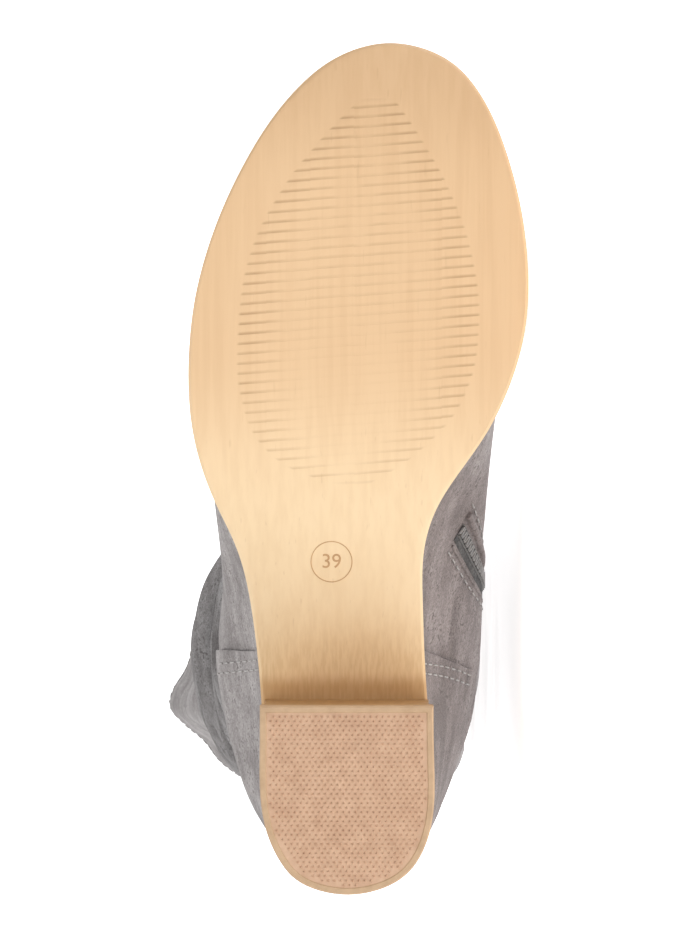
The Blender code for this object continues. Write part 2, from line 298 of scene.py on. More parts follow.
def bump(tree, shader, height, strength, distance):
    made = node(tree, "ShaderNodeBump", Strength=strength, Distance=distance)
    link(tree, height, made.inputs["Height"])
    link(tree, made.outputs["Normal"], shader.inputs["Normal"])


# Shader groups that several finishes share


def newGroup(name, gives):
    # A group that takes a place on the boot and gives numbers
    tree = bpy.data.node_groups.new(name, "ShaderNodeTree")
    tree.interface.new_socket(name="Vector", in_out="INPUT", socket_type="NodeSocketVector")
    for label in gives:
        tree.interface.new_socket(name=label, in_out="OUTPUT", socket_type="NodeSocketFloat")
    taken = tree.nodes.new("NodeGroupInput")
    return tree, taken.outputs["Vector"], tree.nodes.new("NodeGroupOutput").inputs


def groupIn(tree, which, vector):
    made = tree.nodes.new("ShaderNodeGroup")
    made.node_tree = which
    link(tree, vector, made.inputs["Vector"])
    return made.outputs


napValues = {
    "cloud": 16.0, "patch": 112.0, "fibre": 1500.0, "fleck": 820.0, "stroke": (34, 120, 150),
    "cloudShare": 0.35, "patchShare": 0.25, "strokeShare": 0.40, "heightShare": 0.35,
    "fleckEdge": (0.55, 0.66), "wornEdge": (0.40, 0.60),
}


def makeNapGroup():
    # Suede: clouds and strokes of brushed nap, fine fibres, dark flecks where it is worn, and a height
    tree, place, given = newGroup("suedeNap", ("Cloud", "Fibre", "Fleck", "Height"))
    cloud = speckled(tree, place, Scale=napValues["cloud"], Detail=5.0, Roughness=0.62, Distortion=0.5)
    patch = speckled(tree, place, Scale=napValues["patch"], Detail=4.0, Roughness=0.7, Distortion=1.2)
    fibre = speckled(tree, place, Scale=napValues["fibre"], Detail=3.0, Roughness=0.7)
    stroke = speckled(tree, stretched(tree, place, napValues["stroke"]), Scale=1.0, Detail=4.0, Roughness=0.6)
    blend = maths(tree, "MULTIPLY", stroke, napValues["strokeShare"])
    blend = maths(tree, "MULTIPLY_ADD", patch, napValues["patchShare"], blend)
    blend = maths(tree, "MULTIPLY_ADD", cloud, napValues["cloudShare"], blend)
    spots = ease(tree, speckled(tree, place, Scale=napValues["fleck"], Detail=1.0), *napValues["fleckEdge"])
    worn = ease(tree, patch, *napValues["wornEdge"])
    link(tree, blend, given["Cloud"])
    link(tree, fibre, given["Fibre"])
    link(tree, maths(tree, "MULTIPLY", spots, worn), given["Fleck"])
    link(tree, maths(tree, "MULTIPLY_ADD", blend, napValues["heightShare"], fibre), given["Height"])
    return tree


# Grain that runs from heel to toe: its label, scales along, up and to the side, and detail
grainLayers = (
    ("Streak", (20, 160, 480), 3.0), ("Fine", (42, 400, 1150), 2.0), ("Pore", (75, 400, 900), 1.0),
    ("Broad", (9, 12, 16), 2.0),
)
poreEdge = (0.70, 0.78)


def makeGrainGroup():
    tree, place, given = newGroup("woodGrain", [layer[0] for layer in grainLayers])
    for label, scale, detail in grainLayers:
        out = speckled(tree, stretched(tree, place, scale), Scale=1.0, Detail=detail, Roughness=0.55)
        if label == "Pore":
            out = ease(tree, out, *poreEdge, "LINEAR")
        link(tree, out, given[label])
    return tree


# Field of the grip ribs: along, inner side, outer side
ribField = (
    (0.123, 0.046, 0.060), (0.134, 0.030, 0.080), (0.148, 0.019, 0.086), (0.168, 0.0145, 0.0868),
    (0.190, 0.0165, 0.0835), (0.208, 0.0225, 0.075), (0.224, 0.031, 0.063), (0.2375, 0.040, 0.050),
)
ribs = {
    "pitch": 0.00294, "tilt": 0.078, "line": 0.40, "jog": 0.075, "jogWidth": 0.013, "edge": 0.0011,
    "reach": (0.12, 0.24), "heelEnd": (0.122, 0.1235), "toeEnd": (0.2372, 0.2362), "patches": 95.0,
    "broken": (0.30, 0.62), "rimWear": (0.019, 0.002), "toeWear": (0.150, 0.222), "heelWear": (0.121, 0.170),
}


def ribEdge(tree, along, column):
    # How far the field reaches at each place along, by a curve node from 0 to 1, ten times as tall
    low, high = ribs["reach"]
    taller = 10
    made = tree.nodes.new("ShaderNodeFloatCurve")
    points = made.mapping.curves[0].points
    while len(points) < len(ribField):
        points.new(0.5, 0.5)
    for point, row in zip(points, ribField):
        point.location = ((row[0] - low) / (high - low), row[column] * taller)
    made.mapping.update()
    link(tree, ease(tree, along, low, high, "LINEAR"), made.inputs["Value"])
    return maths(tree, "MULTIPLY", made.outputs["Value"], 1 / taller)


def makeRibGroup():
    # Low saw-tooth ledges: crisp near the rim and the toe, worn away in the middle, with dark lines of
    # painted shade at the foot of each ledge
    tree, place, given = newGroup("gripRibs", ("Line", "Height"))
    parts = partsOf(tree, place)
    along = maths(tree, "SUBTRACT", parts["X"], heelBack)
    side = parts["Z"]
    toInner = maths(tree, "SUBTRACT", side, ribEdge(tree, along, 1))
    toOuter = maths(tree, "SUBTRACT", ribEdge(tree, along, 2), side)
    nearest = maths(tree, "MINIMUM", toInner, toOuter)
    ends = maths(tree, "MULTIPLY", ease(tree, along, *ribs["heelEnd"]), ease(tree, along, *ribs["toeEnd"]))
    inside = maths(tree, "MULTIPLY", ease(tree, nearest, 0.0, ribs["edge"]), ends)
    block = node(tree, "ShaderNodeTexWhiteNoise", noise_dimensions="1D")
    link(tree, maths(tree, "FLOOR", maths(tree, "DIVIDE", side, ribs["jogWidth"])), block.inputs["W"])
    step = maths(tree, "MULTIPLY_ADD", side, ribs["tilt"], along)
    step = maths(tree, "DIVIDE", step, ribs["pitch"])
    step = maths(tree, "MULTIPLY_ADD", block.outputs["Value"], ribs["jog"], step)
    part = maths(tree, "FRACT", step)
    line = maths(tree, "MULTIPLY", ease(tree, part, ribs["line"], 0.06), ease(tree, part, 0.0, 0.03))
    broken = ease(tree, speckled(tree, place, Scale=ribs["patches"], Detail=2.0), *ribs["broken"])
    kept = maths(tree, "MULTIPLY_ADD", ease(tree, along, *ribs["toeWear"]), 0.42, 0.10)
    kept = maths(tree, "MULTIPLY", kept, maths(tree, "MULTIPLY_ADD", broken, 0.8, 0.2))
    nearRim = maths(tree, "MULTIPLY_ADD", broken, 0.35, 0.65)
    nearRim = maths(tree, "MULTIPLY", ease(tree, nearest, *ribs["rimWear"]), nearRim)
    kept = maths(tree, "MAXIMUM", kept, nearRim)
    nearHeel = maths(tree, "MULTIPLY_ADD", ease(tree, along, *ribs["heelWear"]), 0.55, 0.45)
    kept = maths(tree, "MULTIPLY", maths(tree, "MULTIPLY", kept, nearHeel), inside)
    # the lines of painted shade at the foot of each ledge, where the ribs are kept
    link(tree, maths(tree, "MULTIPLY", line, kept), given["Line"])
    risen = maths(tree, "MULTIPLY", part, maths(tree, "MULTIPLY", kept, ease(tree, nearest, 0.0, 0.005)))
    link(tree, risen, given["Height"])
    return tree


napGroup = makeNapGroup()
grainGroup = makeGrainGroup()
ribGroup = makeRibGroup()


# Finishes


def newFinish(name, roughness, specular):
    finish = bpy.data.materials.new(name)
    finish.use_nodes = True
    tree = finish.node_tree
    shader = tree.nodes["Principled BSDF"]
    shader.inputs["Roughness"].default_value = roughness
    shader.inputs["Specular IOR Level"].default_value = specular
    place = tree.nodes.new("ShaderNodeTexCoord")
    return finish, tree, shader, place.outputs["Object"]


suede = {
    "dark": (0.262, 0.241, 0.237), "mid": (0.368, 0.342, 0.338), "light": (0.485, 0.458, 0.454),
    "clouds": (0.43, 0.50, 0.57),   # where the three tones stand in the clouds of the nap
    "fibreDark": (0.60, 0.58, 0.58), "fibreLight": (1.16, 1.16, 1.16), "fibres": (0.36, 0.62),
    "fibreShare": 0.75, "fleck": (0.13, 0.115, 0.11), "fleckShare": 0.75,
    # painted shade: on the leg behind the foot, in the hollows of its folds, and on the low inner side
    "paintedLegShade": (0.60, 0.615, 0.62), "valley": (0.46, 0.46, 0.465), "paintedInnerShade": (0.72, 0.665, 0.65),
    "bump": 0.5, "bumpDepth": 0.0006, "sheen": 0.28, "sheenRoughness": 0.45,
    "sheenTint": (0.86, 0.84, 0.84, 1),
}


def makeSuede(name, shade=1.0):
    finish, tree, shader, place = newFinish(name, 0.96, 0.12)
    nap = groupIn(tree, napGroup, place)
    tones = [tuple(c * shade for c in suede[key]) for key in ("dark", "mid", "light")]
    brushed = ramp(tree, nap["Cloud"], list(zip(suede["clouds"], tones)))
    fibres = ramp(tree, nap["Fibre"], list(zip(suede["fibres"], (suede["fibreDark"], suede["fibreLight"]))))
    tone = mixed(tree, suede["fibreShare"], brushed, fibres, "MULTIPLY")
    tone = mixed(tree, maths(tree, "MULTIPLY", nap["Fleck"], suede["fleckShare"]), tone, suede["fleck"])
    # the suede goes darker where the masks of painted shade lie
    for label in ("paintedLegShade", "valley", "paintedInnerShade"):
        mask = node(tree, "ShaderNodeAttribute", attribute_name=label)
        tone = tinted(tree, mask.outputs["Fac"], tone, suede[label])
    link(tree, tone, shader.inputs["Base Color"])
    bump(tree, shader, nap["Height"], suede["bump"], suede["bumpDepth"])
    shader.inputs["Sheen Weight"].default_value = suede["sheen"]
    shader.inputs["Sheen Roughness"].default_value = suede["sheenRoughness"]
    shader.inputs["Sheen Tint"].default_value = suede["sheenTint"]
    return finish


soleColours = {
    "light": (0.79, 0.545, 0.32), "deep": (0.76, 0.515, 0.297), "streaks": (0.34, 0.60),
    "broad": (0.965, 0.95, 0.93), "fine": (0.86, 0.80, 0.72), "fineShare": 0.55, "fineFrom": (0.092, 0.060),
    "pore": (0.48, 0.28, 0.14), "poreShare": 0.15, "rib": (0.47, 0.285, 0.145), "ribShare": 0.82,
    "streakHeight": 0.10, "bumpDepth": 0.00032, "coat": 0.06, "coatRoughness": 0.4,
}

# Zones of the sole in another tone, mostly painted light and shade: tint, along where it starts, along where
# it is full
soleZones = (
    ((1.12, 1.26, 1.38), 0.165, 0.105),     # yellower arch, brightened as painted light
    ((0.94, 0.88, 0.80), 0.088, 0.058),     # painted shadow of the heel block, towards its breast
    ((0.76, 0.67, 0.58), 0.0650, 0.0595),   # shade in the corner under the breast
    ((0.90, 0.87, 0.84), 0.205, 0.250),     # painted shade towards the toe
)


def makeSoleFinish():
    finish, tree, shader, place = newFinish("printedWoodGrain", 0.5, 0.35)
    grain = groupIn(tree, grainGroup, place)
    rib = groupIn(tree, ribGroup, place)
    streaks = zip(soleColours["streaks"], (soleColours["deep"], soleColours["light"]))
    tone = ramp(tree, grain["Streak"], list(streaks))
    broad = ramp(tree, grain["Broad"], [(0.3, soleColours["broad"]), (0.7, (1, 1, 1))])
    tone = mixed(tree, 1.0, tone, broad, "MULTIPLY")
    along = maths(tree, "SUBTRACT", partsOf(tree, place)["X"], heelBack)
    # the zones' tints: painted light and shade, and the arch's yellower tone
    for tint, start, full in soleZones:
        tone = tinted(tree, ease(tree, along, start, full), tone, tint)
    # fine grain near the heel's breast; its darkening there is partly painted shade of the heel
    fine = ramp(tree, grain["Fine"], [(0.40, soleColours["fine"]), (0.60, (1, 1, 1))])
    waist = ease(tree, along, *soleColours["fineFrom"])
    tone = tinted(tree, maths(tree, "MULTIPLY", waist, soleColours["fineShare"]), tone, fine)
    # dark pores, and the painted shade along the grip ribs
    for amount, name in ((grain["Pore"], "pore"), (rib["Line"], "rib")):
        mask = maths(tree, "MULTIPLY", amount, soleColours[name + "Share"])
        tone = mixed(tree, mask, tone, soleColours[name])
    link(tree, tone, shader.inputs["Base Color"])
    height = maths(tree, "MULTIPLY_ADD", grain["Streak"], soleColours["streakHeight"], rib["Height"])
    bump(tree, shader, height, 1.0, soleColours["bumpDepth"])
    shader.inputs["Coat Weight"].default_value = soleColours["coat"]
    shader.inputs["Coat Roughness"].default_value = soleColours["coatRoughness"]
    return finish


stackColours = {"light": (0.52, 0.32, 0.15), "deep": (0.35, 0.195, 0.075), "layers": 52.0, "waver": 0.6}


def makeStackFinish():
    # Thin layers, one above another, from the tread to the seat
    finish, tree, shader, place = newFinish("stackedHeelWrap", 0.42, 0.4)
    layers = node(
        tree, "ShaderNodeTexWave", wave_type="BANDS", bands_direction="Y", Scale=stackColours["layers"],
        Distortion=stackColours["waver"], Detail=2.0,
    )
    link(tree, place, layers.inputs["Vector"])
    grain = groupIn(tree, grainGroup, place)
    tone = ramp(tree, layers.outputs["Fac"], [(0.05, stackColours["deep"]), (0.4, stackColours["light"])])
    fine = ramp(tree, grain["Streak"], [(0.3, (0.86, 0.82, 0.78)), (0.7, (1.05, 1.05, 1.05))])
    link(tree, mixed(tree, 1.0, tone, fine, "MULTIPLY"), shader.inputs["Base Color"])
    bump(tree, shader, layers.outputs["Fac"], 0.15, 0.0003)
    return finish


def makeRubber(name, light, dark, roughness=0.6):
    finish, tree, shader, place = newFinish(name, roughness, 0.35)
    speckle = speckled(tree, place, Scale=240.0, Detail=4.0, Roughness=0.65)
    link(tree, ramp(tree, speckle, [(0.3, dark), (0.68, light)]), shader.inputs["Base Color"])
    bump(tree, shader, speckle, 0.25, 0.0002)
    return finish


def makeWoven(name, light, dark, scale):
    finish, tree, shader, place = newFinish(name, 0.85, 0.2)
    threads = node(tree, "ShaderNodeTexChecker", Scale=scale)
    link(tree, place, threads.inputs["Vector"])
    base = ramp(tree, speckled(tree, place, Scale=scale * 0.4, Detail=3.0), [(0.3, dark), (0.7, light)])
    shaded = ramp(tree, threads.outputs["Fac"], [(0.0, (0.8, 0.8, 0.8)), (1.0, (1, 1, 1))])
    link(tree, mixed(tree, 1.0, base, shaded, "MULTIPLY"), shader.inputs["Base Color"])
    bump(tree, shader, threads.outputs["Fac"], 0.3, 0.0002)
    return finish


suedeFinish = makeSuede("greySuede")
counterFinish = makeSuede("greySuedeCounter", 0.95)
soleFinish = makeSoleFinish()
stackFinish = makeStackFinish()
rimFinish = makeRubber("honeyRubber", (0.58, 0.40, 0.25), (0.49, 0.33, 0.20))
treadFinish = makeRubber("roseTanRubber", (0.66, 0.445, 0.305), (0.56, 0.355, 0.235), 0.7)
stampFinish = makeRubber("pressedTan", (0.62, 0.38, 0.20), (0.50, 0.30, 0.15))
liningFinish = makeWoven("liningCloth", (0.50, 0.45, 0.40), (0.38, 0.34, 0.30), 900.0)
tapeFinish = makeWoven("zipTape", (0.19, 0.186, 0.184), (0.08, 0.078, 0.078), 1000.0)
coilFinish = makeRubber("zipCoil", (0.36, 0.35, 0.345), (0.26, 0.25, 0.245), 0.4)
cordFinish = makeRubber("zipCord", (0.23, 0.225, 0.22), (0.15, 0.145, 0.14))
threadFinish = makeWoven("greyThread", (0.62, 0.60, 0.585), (0.42, 0.405, 0.395), 2600.0)
print("finishes ready")


# Helpers for the pieces


def keep(piece, nodeNames, finish):
    # The piece gets its finish, belongs to the boot and stands in for its solids, if it has any
    piece.data.materials.clear()
    piece.data.materials.append(finish)
    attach(piece, body)
    if nodeNames:
        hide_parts(*nodeNames)


def copyOfNode(nodeName, pieceName):
    # The node's own shape as a merged mesh of quads, ready to be worked on
    piece = frame["nodes"][nodeName].copy()
    piece.data = frame["nodes"][nodeName].data.copy()
    bpy.context.scene.collection.objects.link(piece)
    piece.parent = None
    piece.name = pieceName
    piece.data.name = pieceName
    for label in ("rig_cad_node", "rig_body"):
        if label in piece:
            del piece[label]
    pick(piece)
    bpy.ops.object.mode_set(mode="EDIT")
    bpy.ops.mesh.select_all(action="SELECT")
    bpy.ops.mesh.remove_doubles(threshold=0.00002)
    bpy.ops.mesh.tris_convert_to_quads(face_threshold=math.radians(50), shape_threshold=math.radians(60))
    bpy.ops.object.mode_set(mode="OBJECT")
    if piece.data.has_custom_normals:
        bpy.ops.mesh.customdata_custom_splitnormals_clear()
    return piece


def creaseSharp(piece, angle, amount=1.0):
    emptySelection(piece, "EDGE")
    bpy.ops.object.mode_set(mode="EDIT")
    bpy.ops.mesh.edges_select_sharp(sharpness=math.radians(angle))
    bpy.ops.transform.edge_crease(value=amount)
    bpy.ops.object.mode_set(mode="OBJECT")


def subdivide(piece, levels):
    pick(piece)
    finer = piece.modifiers.new("finer", "SUBSURF")
    finer.levels = levels
    finer.render_levels = levels
    bpy.ops.object.modifier_apply(modifier=finer.name)


def shade(piece, angle):
    pick(piece)
    bpy.ops.object.shade_smooth_by_angle(angle=math.radians(angle))


def moveEach(piece, where):
    for vertex in piece.data.vertices:
        vertex.co = where(vertex.co)
    piece.data.update()


def treeOf(piece):
    points = [v.co for v in piece.data.vertices]
    return BVHTree.FromPolygons(points, [p.vertices for p in piece.data.polygons])


def fill(piece, points, faces):
    piece.data.clear_geometry()
    piece.data.from_pydata([tuple(p) for p in points], [], faces)
    piece.data.update()


def repeatShape(piece, places):
    # The piece's own shape again and again, at each place and along that place's three axes
    points = [v.co.copy() for v in piece.data.vertices]
    faces = [tuple(p.vertices) for p in piece.data.polygons]
    allPoints, allFaces = [], []
    for place, x, y, z in places:
        first = len(allPoints)
        allPoints += [place + x * p.x + y * p.y + z * p.z for p in points]
        allFaces += [tuple(first + v for v in face) for face in faces]
    fill(piece, allPoints, allFaces)


# Upper: the leg's slouch folds and the creases of the foot

upperValues = {
    "levels": 2, "foldRows": (0.140, 0.420), "legStart": (0.085, 0.125), "legEnd": (0.600, 0.618),
    "vamp": (0.105, 0.140), "vampTop": (0.14, 0.19), "outerFrom": (-75, -25), "outerTo": (95, 140),
    "slackEnd": (0.50, 0.60), "groove": 0.0055, "grooveUp": 0.152, "grooveWidth": 0.017,
    "quarterStart": (0.055, 0.098), "quarterEnd": (0.114, 0.144), "collarStart": (0.47, 0.56),
    "wrinkle": 0.0008, "wrinkleSize": 0.026, "wrinkleStart": (0.05, 0.12), "pressHeight": 0.022,
    "pressUp": 0.2, "ballFrom": 0.13, "ballTop": 0.09, "ballStart": (0.022, 0.04), "liftEnd": (0.004, 0.045),
    "backCorner": 0.0112, "cornerAlong": (0.052, 0.004), "cornerSide": (0.004, 0.05),
    "cornerStart": (0.16, 0.23), "cornerEnd": (0.38, 0.62), "cornerLoss": 0.75,
}

# How far the leg's floor side stands off the floor: up, height
floorLift = (
    (0.080, 0.0), (0.110, 0.0), (0.150, 0.0080), (0.200, 0.0082), (0.300, 0.0052), (0.400, 0.0022),
    (0.480, 0.0), (0.620, 0.0),
)

# How far the quarter and counter stand out on the outer side: along, width
quarterBulge = (
    (-0.020, 0.0), (-0.004, 0.0), (0.010, 0.0020), (0.030, 0.0056), (0.055, 0.0055), (0.070, 0.0045),
    (0.090, 0.0025), (0.115, 0.0), (0.140, 0.0),
)

# How far the slack leg sinks in: turn, depth
legSlack = (
    (-90, 0.0), (-42, 0.0), (-15, 0.0030), (10, 0.0060), (38, 0.0092), (75, 0.0092), (98, 0.0044), (140, 0.0),
    (170, 0.0),
)

# Shape of the collar's outer side, seen past the leg: along, in or out
collarShape = (
    (-0.030, -0.0030), (-0.006, -0.0044), (0.004, -0.0050), (0.015, 0.0), (0.022, 0.0034), (0.029, 0.0012),
    (0.037, -0.0040), (0.046, -0.0064), (0.075, -0.0064), (0.100, -0.0030),
)

# Middle line of the leg: up, along, side
legMiddle = (
    (0.060, 0.045, 0.053), (0.150, 0.058, 0.053), (0.215, 0.057, 0.052), (0.300, 0.052, 0.050),
    (0.402, 0.048, 0.051), (0.508, 0.043, 0.055), (0.620, 0.036, 0.060),
)

# Slouch folds: up, turn (0 is the outer side, 90 the back, -90 the shin), half spread, width, height, tilt
slouchFolds = (
    (0.178, 35, 110, 0.0078, 0.0058, 0.004),
    (0.204, 30, 115, 0.0084, 0.0074, -0.005),
    (0.233, 40, 115, 0.0098, 0.0084, 0.006),
    (0.264, 25, 110, 0.0112, 0.0088, -0.008),
    (0.294, 60, 95, 0.0120, 0.0074, 0.016),
    (0.326, 5, 90, 0.0130, 0.0066, 0.020),
    (0.360, 50, 95, 0.0140, 0.0058, -0.020),
    (0.398, 90, 75, 0.0150, 0.0046, 0.018),
    (0.430, 10, 80, 0.0160, 0.0036, -0.026),
    (0.472, 60, 80, 0.0170, 0.0026, 0.022),
    (0.520, 15, 70, 0.0180, 0.0020, -0.020),
    (0.146, -60, 45, 0.0075, 0.0036, 0.008),
    (0.166, -80, 50, 0.0080, 0.0044, -0.010),
    (0.190, -70, 60, 0.0095, 0.0050, 0.012),
    (0.216, -95, 55, 0.0100, 0.0046, -0.014),
    (0.252, -75, 60, 0.0110, 0.0044, 0.012),
    (0.292, -90, 55, 0.0120, 0.0040, -0.016),
    (0.352, -80, 55, 0.0140, 0.0034, 0.014),
    (0.128, 165, 40, 0.0080, 0.0030, -0.008),
    (0.156, 185, 50, 0.0090, 0.0034, 0.010),
    (0.188, 160, 55, 0.0095, 0.0036, -0.012),
)
foldValues = {"ends": 1.7, "fade": 1.5, "swing": 1.3, "valley": 0.62, "valleyDown": 1.25, "valleyWidth": 0.5}
rollReach = 3.2   # past this many widths a fold or a crease is too low to count

# Flex creases over the ball: along and side at the middle, half length, width, depth, tilt
flexCreases = (
    (0.166, 0.050, 0.030, 0.0042, -0.0011, 0.10),
    (0.156, 0.052, 0.027, 0.0036, -0.0008, -0.14),
    (0.177, 0.047, 0.026, 0.0040, -0.0007, 0.22),
)


def turnAround(along, side, middle):
    # 0 at the outer side, 90 at the back, 180 on the floor, -90 at the shin
    return math.degrees(math.atan2(middle[0] - along, side - middle[1]))


def outerShare(turn, end):
    # 1 on the leg's outer side and back, 0 on the shin and the floor side
    return smooth(*upperValues["outerFrom"], turn) * (1 - smooth(*end, turn))


def foldHeight(up, turn):
    # Each fold is a round roll with a tight valley under it
    total = 0.0
    for foldUp, centre, spread, width, height, tilt in slouchFolds:
        away = (turn - centre + 180) % 360 - 180
        if abs(away) < spread * foldValues["ends"]:
            reach = math.exp(-((away / spread) ** 2) * foldValues["fade"])
            ring = (up - foldUp - tilt * math.sin(math.radians(away * foldValues["swing"]))) / width
            if abs(ring) < rollReach:
                valley = bell(ring + foldValues["valleyDown"], foldValues["valleyWidth"])
                total += height * reach * (bell(ring, 1) - foldValues["valley"] * valley)
    return total


def creaseHeight(along, side):
    total = 0.0
    for creaseAlong, creaseSide, half, width, depth, tilt in flexCreases:
        across = (along - creaseAlong - tilt * (side - creaseSide)) / width
        if abs(across) < rollReach:
            total += depth * bell(across, 1) * bell(side - creaseSide, half)
    return total


def slouched(point):
    # Where a point of the plain upper goes: in or out around the leg first, then up from the floor
    along, up, side = measures(point)
    middle = rows(legMiddle, up)
    out = Vector((along - middle[0], 0, side - middle[1]))
    if out.length < 1e-6:
        return point
    out.normalize()
    turn = turnAround(along, side, middle)
    outer = outerShare(turn, upperValues["outerTo"])
    onLeg = smooth(*upperValues["legStart"], up) * (1 - smooth(*upperValues["legEnd"], up))
    onLeg *= 1 - smooth(*upperValues["vamp"], along) * (1 - smooth(*upperValues["vampTop"], up))
    push = foldHeight(up, turn) * onLeg
    push -= rows(legSlack, turn)[0] * onLeg * (1 - smooth(*upperValues["slackEnd"], up))
    push -= upperValues["groove"] * outer * bell(up - upperValues["grooveUp"], upperValues["grooveWidth"])
    onQuarter = smooth(*upperValues["quarterStart"], up) * (1 - smooth(*upperValues["quarterEnd"], up))
    push += rows(quarterBulge, along)[0] * outer * onQuarter
    push += rows(collarShape, along)[0] * outer * smooth(*upperValues["collarStart"], up)
    spot = point / upperValues["wrinkleSize"]
    wrinkles = noise.noise(spot) + 0.5 * noise.noise(spot * 2.3)
    push += wrinkles * upperValues["wrinkle"] * smooth(*upperValues["wrinkleStart"], up)
    pressed = smooth(0.0, upperValues["pressHeight"], side) if up > upperValues["pressUp"] else 1.0
    moved = point + out * push * pressed
    if along > upperValues["ballFrom"] and up < upperValues["ballTop"]:
        moved.y += creaseHeight(along, side) * smooth(*upperValues["ballStart"], up)
    backCorner = smooth(*upperValues["cornerAlong"], along) * (1 - smooth(*upperValues["cornerSide"], side))
    backCorner *= smooth(*upperValues["cornerStart"], up)
    backCorner *= 1 - upperValues["cornerLoss"] * smooth(*upperValues["cornerEnd"], up)
    moved.z += upperValues["backCorner"] * backCorner
    moved.z += rows(floorLift, up)[0] * (1 - smooth(*upperValues["liftEnd"], side))
    moved.z = max(moved.z, min(point.z, 0.0))
    return moved


def cutFoldRows(skin):
    # One more row between every two rows of the leg, where the folds are
    low, high = upperValues["foldRows"]
    emptySelection(skin, "EDGE")
    points = skin.data.vertices
    for edge in skin.data.edges:
        first, last = (points[v].co for v in edge.vertices)
        runsUp = abs(last.y - first.y) > 0.8 * (last - first).length
        edge.select = runsUp and all(low < place.y - treadLevel < high for place in (first, last))
    bpy.ops.object.mode_set(mode="EDIT")
    bpy.ops.mesh.subdivide(number_cuts=1)
    bpy.ops.object.mode_set(mode="OBJECT")


# Where the suede's painted shade lies: the leg behind the foot, the hollows of its folds, the low inner side
maskValues = {
    "outerTo": (110, 150), "legShadeFrom": (0.136, 0.160), "legShadeTo": (0.42, 0.52), "legShadeLoss": 0.72,
    "valleyShift": 0.0035, "valleyDepth": 0.0026, "valleyFrom": (0.15, 0.17),
    "innerShadeAlong": (0.150, 0.115), "innerShadeSide": (0.050, 0.028), "innerShadeUp": (0.20, 0.13),
}


def shadeFolds(skin):
    # Masks of painted shade for the suede: the leg behind the foot, the hollows between its folds, the low
    # inner side
    marks = skin.data.attributes
    for label in ("paintedLegShade", "valley", "paintedInnerShade"):
        marks.new(label, "FLOAT", "POINT")
    for i, vertex in enumerate(skin.data.vertices):
        along, up, side = measures(vertex.co)
        turn = turnAround(along, side, rows(legMiddle, up))
        # painted shade on the leg's outer side and back, behind the foot, less of it higher up
        paintedLegShade = outerShare(turn, maskValues["outerTo"]) * smooth(*maskValues["legShadeFrom"], up)
        paintedLegShade *= 1 - maskValues["legShadeLoss"] * smooth(*maskValues["legShadeTo"], up)
        # painted shade in the hollow under each slouch fold
        hollow = max(-foldHeight(up, turn), -foldHeight(up - maskValues["valleyShift"], turn))
        hollow = hollow / maskValues["valleyDepth"] * smooth(*maskValues["valleyFrom"], up)
        # painted shade on the inner side next to the floor, from the heel to the middle of the foot, low on
        # the boot
        paintedInnerShade = smooth(*maskValues["innerShadeAlong"], along) * smooth(*maskValues["innerShadeSide"], side)
        marks["paintedLegShade"].data[i].value = paintedLegShade
        marks["valley"].data[i].value = max(0.0, min(1.0, hollow))
        marks["paintedInnerShade"].data[i].value = paintedInnerShade * smooth(*maskValues["innerShadeUp"], up)


# Middle of the hollow inside the foot, which the lining faces
footMiddle = {"legFrom": 0.1, "toe": 0.19, "footFrom": 0.1, "footUp": 0.04, "heelUp": 0.075, "side": 0.052}


def paintLining(skin):
    # Faces that look towards the middle of the leg or the foot are the lining
    for face in skin.data.polygons:
        along, up, side = measures(face.center)
        if up > footMiddle["legFrom"]:
            middle = rows(legMiddle, up)
            inwards = Vector((middle[0] - along, 0, middle[1] - side))
        else:
            middleUp = footMiddle["footUp"] if along > footMiddle["footFrom"] else footMiddle["heelUp"]
            inwards = at(min(along, footMiddle["toe"]), middleUp, footMiddle["side"]) - face.center
        face.material_index = 1 if face.normal.dot(inwards) > 0 else 0


def makeUpper():
    skin = copyOfNode("upper", "suedeUpper")
    creaseSharp(skin, 50)
    subdivide(skin, upperValues["levels"])
    cutFoldRows(skin)
    shadeFolds(skin)
    moveEach(skin, slouched)
    keep(skin, ("upper",), suedeFinish)
    skin.data.materials.append(liningFinish)
    paintLining(skin)
    shade(skin, 60)
    return skin


suedeUpper = makeUpper()
upperTree = treeOf(suedeUpper)
print("upper ready", len(suedeUpper.data.polygons))


# Counter: its front edge leans on the outer side

counterValues = {
    "levels": 2, "lean": 0.085, "leanFrom": 0.050, "leanAlong": (0.052, 0.069), "leanSide": (0.060, 0.085),
    "stitchRows": (0.0028, 0.0058), "stitchFrom": 0.050, "stitchHeight": 0.062, "stitchSteps": 39,
}


def leaned(point):
    along, up, side = measures(point)
    onFront = smooth(*counterValues["leanAlong"], along) * smooth(*counterValues["leanSide"], side)
    point.x -= counterValues["lean"] * onFront * (up - counterValues["leanFrom"])
    return point


def makeCounter():
    piece = copyOfNode("heel_counter", "counterPanel")
    creaseSharp(piece, 50, 0.8)
    subdivide(piece, counterValues["levels"])
    shadeFolds(piece)
    moveEach(piece, leaned)
    moveEach(piece, slouched)
    keep(piece, ("heel_counter",), counterFinish)
    shade(piece, 50)
    return piece


counterPanel = makeCounter()
print("counter ready")


# Outsole and its plain size ring

soleValues = {"levels": 3}


def makeOutsole():
    piece = copyOfNode("outsole", "grainedOutsole")
    creaseSharp(piece, 30, 0.7)
    subdivide(piece, soleValues["levels"])
    keep(piece, ("outsole",), soleFinish)
    shade(piece, 35)
    return piece


grainedOutsole = makeOutsole()
outsoleTree = treeOf(grainedOutsole)
print("outsole ready", len(grainedOutsole.data.polygons))

stampValues = {
    "along": 0.0988, "side": 0.0588, "radius": 0.0062, "line": 0.00022, "text": "39", "textSize": 0.0062,
    "textDeep": 0.0001, "proud": 0.00012, "sunk": 0.00025,
}


